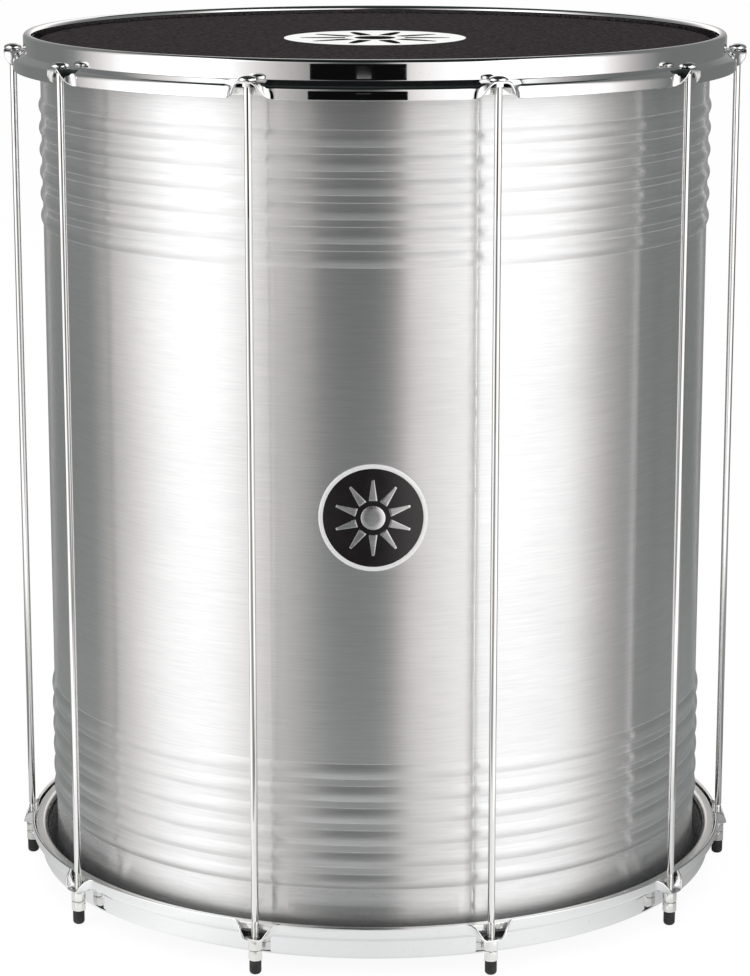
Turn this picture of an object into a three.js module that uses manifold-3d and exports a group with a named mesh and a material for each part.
// Surdo, the deep bass drum of a samba band: an aluminium shell with a black head on each end.
// Two pressed steel hoops are pulled together by ten long rods that run outside the shell.
// The drum stands on the rubber tips of its rods. Lengths are millimetres, +Z is up,
// the floor is z = 0, the drum's axis is the Z axis and the badge faces -Y.

import * as THREE from 'three';
import * as BufferGeometryUtils from 'three/addons/utils/BufferGeometryUtils.js';
import Module from 'manifold-3d';

// Gap left between pieces that touch on the real drum
const SEAT_GAP = 0.3;

// Shell: one rolled sheet with ribs pressed outwards near both ends
const SHELL_RADIUS = 278;
const SHELL_LENGTH = 692;
const SHELL_WALL = 1.2;
const RIB_COUNT = 6;
const RIB_INSET = 46;
const RIB_PITCH = 18.3;
const RIB_WIDTH = 11.8;
const RIB_HEIGHT = 2;

// Head: a film over the shell's end, with a collar that runs out to its flesh hoop
const FILM_THICKNESS = 1;
const FILM_CORNER = 1.5;
const COLLAR_LENGTH = 12;
const FLESH_ROOM = 10.4;
const FLESH_WIDTH = 8.5;
const FLESH_HEIGHT = 5.8;

// Counterhoop: a strip of sheet with an upright wall, a sloping shoulder and a skirt
const HOOP_SHEET = 1.8;
const HOOP_WALL_HEIGHT = 15.6;
const SHOULDER_LENGTH = 10;
const SHOULDER_SLOPE = THREE.MathUtils.degToRad(31);
const SKIRT_LENGTH = 8.4;
const SKIRT_SLOPE = THREE.MathUtils.degToRad(90);
const SKIRT_ROOM = 1.3;
const HEAD_DEPTH = 6.6;

// Ears: places where shoulder and skirt are pressed flat to carry a rod
const EAR_CROWN = 5.5;
const EAR_REACH = 18;

// Tension rods: domed head, square neck, plain shank and a threaded end
const ROD_COUNT = 10;
const ROD_STANDOFF = 10.5;
const DOME_RADIUS = 7.4;
const DOME_HEIGHT = 3.8;
const DOME_OUTLINE_SHARES = [[0, 1], [0.5, 0.86], [0.85, 0.5], [1, 0]];
const NECK_WIDTH = 6;
const NECK_DROP = 3.4;
const SHANK_RADIUS = 2.75;
const THREAD_RADIUS = 3;
const THREAD_LENGTH = 42;

// Tuning nuts: two hexagon nuts on each rod, the lower one locks the upper one
const NUT_FLATS = 10;
const NUT_HEIGHT = 8.2;
const NUT_BORE_ROOM = 0.4;

// Rubber feet pushed over the rod ends
const FOOT_RADIUS = 4.8;
const FOOT_HEIGHT = 11.5;
const FOOT_FLOOR = 2.2;
const FOOT_ROUNDING = 2.4;

// Badge: a thin round plate bent to the shell
const BADGE_RADIUS = 42.3;
const BADGE_THICKNESS = 1.1;
const BADGE_RISE = 2.5;

// Facets round the axis: large rings, hoops between two ears, and small turned pieces
const RING_SIDES = 48;
const PLAIN_COLUMNS = 5;
const TURNED_SIDES = 10;
const BADGE_SIDES = 32;

// Radii, from the shell outwards
const FLESH_INNER = SHELL_RADIUS + FLESH_ROOM;
const FLESH_OUTER = FLESH_INNER + FLESH_WIDTH;
const SHOULDER_RUN = SHOULDER_LENGTH * Math.cos(SHOULDER_SLOPE);
const SHOULDER_DROP = SHOULDER_LENGTH * Math.sin(SHOULDER_SLOPE);
const SKIRT_OUTER = FLESH_OUTER + SKIRT_ROOM + HOOP_SHEET;
const WALL_OUTER = SKIRT_OUTER - SHOULDER_RUN;
const ROD_CIRCLE = WALL_OUTER + ROD_STANDOFF;

// Heights, from the floor up: foot, lock nut, tuning nut, bottom hoop, shell, top hoop
const LOCK_NUT_BASE = FOOT_HEIGHT + SEAT_GAP;
const TUNING_NUT_BASE = LOCK_NUT_BASE + NUT_HEIGHT + SEAT_GAP;
const BOTTOM_EAR = TUNING_NUT_BASE + NUT_HEIGHT + SEAT_GAP;
const BOTTOM_RIM = BOTTOM_EAR - HOOP_WALL_HEIGHT;
const RIM_TO_SHELL = HEAD_DEPTH + FILM_THICKNESS + SEAT_GAP;
const SHELL_BASE = BOTTOM_RIM + RIM_TO_SHELL;
const TOP_RIM = SHELL_BASE + SHELL_LENGTH + RIM_TO_SHELL;
const TOP_EAR = TOP_RIM - HOOP_WALL_HEIGHT;
const SHELL_MIDDLE = SHELL_BASE + SHELL_LENGTH / 2;

// Depth of the flesh hoop's near face below the rim, where the sloping shoulder bears on it
const SHOULDER_SLANT = (FLESH_OUTER - WALL_OUTER) * Math.tan(SHOULDER_SLOPE);
const SHOULDER_SKIN = HOOP_SHEET / Math.cos(SHOULDER_SLOPE);
const FLESH_DEPTH = HOOP_WALL_HEIGHT + SHOULDER_SLANT + SHOULDER_SKIN + SEAT_GAP;

const aluminium = new THREE.MeshStandardMaterial({ color: 0xb9babc, roughness: 0.35, metalness: 1 });
const chrome = new THREE.MeshStandardMaterial({ color: 0xe2e2e2, roughness: 0.06, metalness: 1 });
const plating = new THREE.MeshStandardMaterial({ color: 0xd2d3cf, roughness: 0.25, metalness: 1 });
const film = new THREE.MeshStandardMaterial({ color: 0x1c1a19, roughness: 0.7, metalness: 0 });
const rubber = new THREE.MeshStandardMaterial({ color: 0x191b1a, roughness: 0.8, metalness: 0 });
const enamel = new THREE.MeshStandardMaterial({ color: 0x0b0b0c, roughness: 0.15, metalness: 0 });

const wasm = await Module();
wasm.setup();

const surdo = new THREE.Group();

// Adds one named piece to the drum
function addPiece(name, geometry, material, place = new THREE.Vector3(), turn = 0) {
  const mesh = new THREE.Mesh(geometry, material);
  mesh.name = name;
  mesh.position.copy(place);
  mesh.rotation.z = turn;
  surdo.add(mesh);
}

// Merges a geometry's seams into one skin, drops collapsed facets and faces it outwards
function closeSkin(geometry) {
  geometry.deleteAttribute('normal');
  geometry.deleteAttribute('uv');
  const merged = BufferGeometryUtils.mergeVertices(geometry);
  const corner = [0, 1, 2].map(() => new THREE.Vector3());
  const facets = [];
  let volume = 0;
  for (let i = 0; i < merged.index.count; i += 3) {
    const [a, b, c] = [0, 1, 2].map((k) => merged.index.getX(i + k));
    if (a === b || b === c || c === a) continue;
    [a, b, c].forEach((vertex, k) => corner[k].fromBufferAttribute(merged.attributes.position, vertex));
    volume += corner[0].dot(corner[1].clone().cross(corner[2]));
    facets.push([a, b, c]);
  }
  if (volume < 0) facets.forEach((facet) => facet.reverse());
  merged.setIndex(facets.flat());
  return merged;
}

function toSolid(geometry) {
  const skin = closeSkin(geometry);
  return new wasm.Manifold(new wasm.Mesh({
    numProp: 3,
    vertProperties: new Float32Array(skin.attributes.position.array),
    triVerts: new Uint32Array(skin.index.array),
  }));
}

function toGeometry(solid) {
  const mesh = solid.getMesh();
  const geometry = new THREE.BufferGeometry();
  geometry.setAttribute('position', new THREE.BufferAttribute(mesh.vertProperties, 3));
  geometry.setIndex(new THREE.BufferAttribute(mesh.triVerts, 1));
  return geometry;
}

// Turns a profile of [radius, height] points round the Z axis
function turned(profile, sides) {
  const points = profile.map(([radius, height]) => new THREE.Vector2(radius, height));
  return new THREE.LatheGeometry(points, sides).rotateX(Math.PI / 2);
}

// A profile that closes on itself, for rings and tubes
function turnedRing(profile, sides) {
  return closeSkin(turned([...profile, profile[0]], sides));
}

// A piece of the head end is drawn for depth below the rim, then placed at either end of the drum
const ENDS = [
  { name: 'top', height: (depth) => TOP_RIM - depth },
  { name: 'bottom', height: (depth) => BOTTOM_RIM + depth },
];

// Shell: the ribs follow on the inside, as they do in pressed sheet
function shellProfile(radius) {
  const profile = [[radius, SHELL_BASE]];
  const lowest = [SHELL_BASE + RIB_INSET, SHELL_BASE + SHELL_LENGTH - RIB_INSET - ribBandHeight()];
  for (const start of lowest) {
    for (let rib = 0; rib < RIB_COUNT; rib += 1) {
      const foot = start + rib * RIB_PITCH;
      profile.push([radius, foot]);
      profile.push([radius + RIB_HEIGHT, foot + RIB_WIDTH / 2]);
      profile.push([radius, foot + RIB_WIDTH]);
    }
  }
  profile.push([radius, SHELL_BASE + SHELL_LENGTH]);
  return profile;
}

function ribBandHeight() {
  return (RIB_COUNT - 1) * RIB_PITCH + RIB_WIDTH;
}

function addShell() {
  const outside = shellProfile(SHELL_RADIUS);
  const inside = shellProfile(SHELL_RADIUS - SHELL_WALL).reverse();
  addPiece('shell', turnedRing([...outside, ...inside], RING_SIDES), aluminium);
}

// Head film: flat disc, rounded over the shell's edge, sloping collar, then a short upright lip
function addHead(end) {
  const edge = SHELL_RADIUS + SEAT_GAP;
  const lip = FLESH_INNER - SEAT_GAP;
  const bend = HEAD_DEPTH + FILM_CORNER + COLLAR_LENGTH;
  const lipEnd = FLESH_DEPTH + FLESH_HEIGHT;
  const outside = [
    [0, HEAD_DEPTH],
    [edge + FILM_THICKNESS - FILM_CORNER, HEAD_DEPTH],
    [edge + FILM_THICKNESS, HEAD_DEPTH + FILM_CORNER],
    [lip, bend],
    [lip, lipEnd],
  ];
  const inside = [
    [lip - FILM_THICKNESS, lipEnd],
    [lip - FILM_THICKNESS, bend + FILM_THICKNESS],
    [edge, HEAD_DEPTH + FILM_THICKNESS + FILM_CORNER],
    [edge, HEAD_DEPTH + FILM_THICKNESS],
    [0, HEAD_DEPTH + FILM_THICKNESS],
  ];
  const profile = [...outside, ...inside].map(([radius, depth]) => [radius, end.height(depth)]);
  addPiece(`${end.name}_head`, closeSkin(turned(profile, RING_SIDES)), film);
}

function addFleshHoop(end) {
  const near = end.height(FLESH_DEPTH);
  const far = end.height(FLESH_DEPTH + FLESH_HEIGHT);
  const profile = [[FLESH_INNER, near], [FLESH_OUTER, near], [FLESH_OUTER, far], [FLESH_INNER, far]];
  addPiece(`${end.name}_flesh_hoop`, turnedRing(profile, RING_SIDES), plating);
}

// How flat the sheet is pressed at an arc distance from an ear's middle: 1 on the crown, 0 beyond
function earFlatness(arc) {
  return 1 - THREE.MathUtils.smoothstep(Math.abs(arc), EAR_CROWN, EAR_REACH);
}

// The counterhoop's section: its middle line is given sheet thickness, with mitred corners
function hoopSection(flatness) {
  const wall = WALL_OUTER - HOOP_SHEET / 2;
  const slopes = [SHOULDER_SLOPE, SKIRT_SLOPE].map((slope) => slope * (1 - flatness));
  const turn = HOOP_WALL_HEIGHT + (HOOP_SHEET / 2) * Math.tan(Math.PI / 4 - slopes[0] / 2);
  const line = [new THREE.Vector2(wall, 0), new THREE.Vector2(wall, turn)];
  for (const [i, length] of [SHOULDER_LENGTH, SKIRT_LENGTH].entries()) {
    const step = new THREE.Vector2(Math.cos(slopes[i]), Math.sin(slopes[i])).multiplyScalar(length);
    line.push(line.at(-1).clone().add(step));
  }
  const side = (sign) => line.map((point, i) => {
    const before = point.clone().sub(line[Math.max(i - 1, 0)]).normalize();
    const after = line[Math.min(i + 1, line.length - 1)].clone().sub(point).normalize();
    const along = before.clone().add(after).normalize();
    const straight = i === 0 ? after : before;
    const mitre = HOOP_SHEET / 2 / along.dot(straight);
    return [point.x + sign * mitre * along.y, point.y - sign * mitre * along.x];
  });
  return [...side(1), ...side(-1).reverse()];
}

// Shares of an ear's reach where the hoop has a column of vertices
const EAR_COLUMN_SHARES = [-1, -0.78, -0.56, -0.3, 0.3, 0.56, 0.78, 1];

// Arc distances of the hoop's columns from the nearest ear, and their angles round the drum
function hoopColumns() {
  const pitch = (2 * Math.PI) / ROD_COUNT;
  const reach = EAR_REACH / SKIRT_OUTER;
  const columns = [];
  for (let ear = 0; ear < ROD_COUNT; ear += 1) {
    const middle = (ear + 0.5) * pitch;
    for (const share of EAR_COLUMN_SHARES) {
      columns.push({ angle: middle + share * reach, flatness: earFlatness(share * EAR_REACH) });
    }
    for (let plain = 1; plain <= PLAIN_COLUMNS; plain += 1) {
      const across = (plain / (PLAIN_COLUMNS + 1)) * (pitch - 2 * reach);
      columns.push({ angle: middle + reach + across, flatness: 0 });
    }
  }
  return [...columns, columns[0]];
}

// Hoop: a turned ring whose columns are moved to the ears, with a square hole punched in each ear
function addCounterhoop(end) {
  const section = hoopSection(0);
  const columns = hoopColumns();
  const ring = turned([...section, section[0]], columns.length - 1);
  const { position } = ring.attributes;
  columns.forEach(({ angle, flatness }, column) => {
    const points = hoopSection(flatness);
    [...points, points[0]].forEach(([radius, depth], i) => {
      const x = radius * Math.sin(angle);
      const y = -radius * Math.cos(angle);
      position.setXYZ(column * (section.length + 1) + i, x, y, end.height(depth));
    });
  });
  let hoop = toSolid(ring);
  const hole = NECK_WIDTH + 2 * SEAT_GAP;
  for (const place of rodPlaces(end.height(HOOP_WALL_HEIGHT))) {
    const punch = new THREE.BoxGeometry(hole, hole, SKIRT_LENGTH);
    punch.rotateZ(place.angle).translate(place.at.x, place.at.y, place.at.z);
    hoop = hoop.subtract(toSolid(punch));
  }
  addPiece(`${end.name}_hoop`, toGeometry(hoop), chrome);
}

// The ten rods stand half a pitch to each side of the front
function rodPlaces(height) {
  return Array.from({ length: ROD_COUNT }, (_, i) => {
    const angle = ((i + 0.5) * 2 * Math.PI) / ROD_COUNT;
    const at = new THREE.Vector3(ROD_CIRCLE * Math.sin(angle), -ROD_CIRCLE * Math.cos(angle), height);
    return { angle, at, label: String(i + 1).padStart(2, '0') };
  });
}

// Tension rod, drawn with the underside of its domed head at z = 0
function rodGeometry() {
  const rodEnd = FOOT_FLOOR + SEAT_GAP - (TOP_EAR + SEAT_GAP);
  const threadStart = rodEnd + THREAD_LENGTH;
  const neckDepth = SEAT_GAP + HOOP_SHEET + NECK_DROP;
  const profile = [
    ...DOME_OUTLINE_SHARES.map(([across, up]) => [DOME_RADIUS * across, DOME_HEIGHT * up]),
    [SHANK_RADIUS, 0],
    [SHANK_RADIUS, threadStart],
    [THREAD_RADIUS, threadStart],
    [THREAD_RADIUS, rodEnd],
    [0, rodEnd],
  ];
  const neck = new THREE.BoxGeometry(NECK_WIDTH, NECK_WIDTH, neckDepth);
  neck.translate(0, 0, -neckDepth / 2);
  return toGeometry(toSolid(turned(profile, TURNED_SIDES)).add(toSolid(neck)));
}

// Hexagon nut with a clear bore, drawn with its base at z = 0
function nutGeometry() {
  const corner = NUT_FLATS / Math.sqrt(3);
  const bore = THREAD_RADIUS + NUT_BORE_ROOM;
  const hexagon = Array.from({ length: 6 }, (_, i) => (
    new THREE.Vector2(corner * Math.cos((i * Math.PI) / 3), corner * Math.sin((i * Math.PI) / 3))
  ));
  const outline = new THREE.Shape(hexagon);
  outline.holes.push(new THREE.Path().absarc(0, 0, bore, 0, 2 * Math.PI, true));
  const options = { depth: NUT_HEIGHT, bevelEnabled: false, curveSegments: TURNED_SIDES };
  return closeSkin(new THREE.ExtrudeGeometry(outline, options));
}

// Rubber foot with a blind bore for the rod end, drawn with its base at z = 0
function footGeometry() {
  const bore = THREAD_RADIUS + SEAT_GAP;
  const profile = [
    [0, 0],
    [FOOT_RADIUS - FOOT_ROUNDING, 0],
    [FOOT_RADIUS - FOOT_ROUNDING * (1 - Math.SQRT1_2), FOOT_ROUNDING * (1 - Math.SQRT1_2)],
    [FOOT_RADIUS, FOOT_ROUNDING],
    [FOOT_RADIUS, FOOT_HEIGHT],
    [bore, FOOT_HEIGHT],
    [bore, FOOT_FLOOR],
    [0, FOOT_FLOOR],
  ];
  return closeSkin(turned(profile, TURNED_SIDES));
}

// One piece of a kind on every rod
function addOnRods(name, geometry, material, height) {
  for (const { angle, at, label } of rodPlaces(height)) {
    addPiece(`${name}_${label}`, geometry.clone(), material, at, angle);
  }
}

// Badge: a round slug, cut from a thin tube that lies against the shell
function addBadge() {
  const middle = SHELL_MIDDLE + BADGE_RISE;
  const inner = SHELL_RADIUS + SEAT_GAP;
  const outer = inner + BADGE_THICKNESS;
  const low = middle - BADGE_RADIUS - BADGE_THICKNESS;
  const high = middle + BADGE_RADIUS + BADGE_THICKNESS;
  const tube = toSolid(turnedRing([[inner, low], [outer, low], [outer, high], [inner, high]], RING_SIDES));
  const slug = new THREE.CylinderGeometry(BADGE_RADIUS, BADGE_RADIUS, SHELL_RADIUS, BADGE_SIDES);
  slug.translate(0, -SHELL_RADIUS, middle);
  addPiece('badge', toGeometry(tube.intersect(toSolid(slug))), enamel);
}

addShell();
addBadge();
for (const end of ENDS) {
  addHead(end);
  addFleshHoop(end);
  addCounterhoop(end);
}
addOnRods('tension_rod', rodGeometry(), plating, TOP_EAR + SEAT_GAP);
addOnRods('tuning_nut', nutGeometry(), plating, TUNING_NUT_BASE);
addOnRods('lock_nut', nutGeometry(), plating, LOCK_NUT_BASE);
addOnRods('rubber_foot', footGeometry(), rubber, 0);

export default surdo;
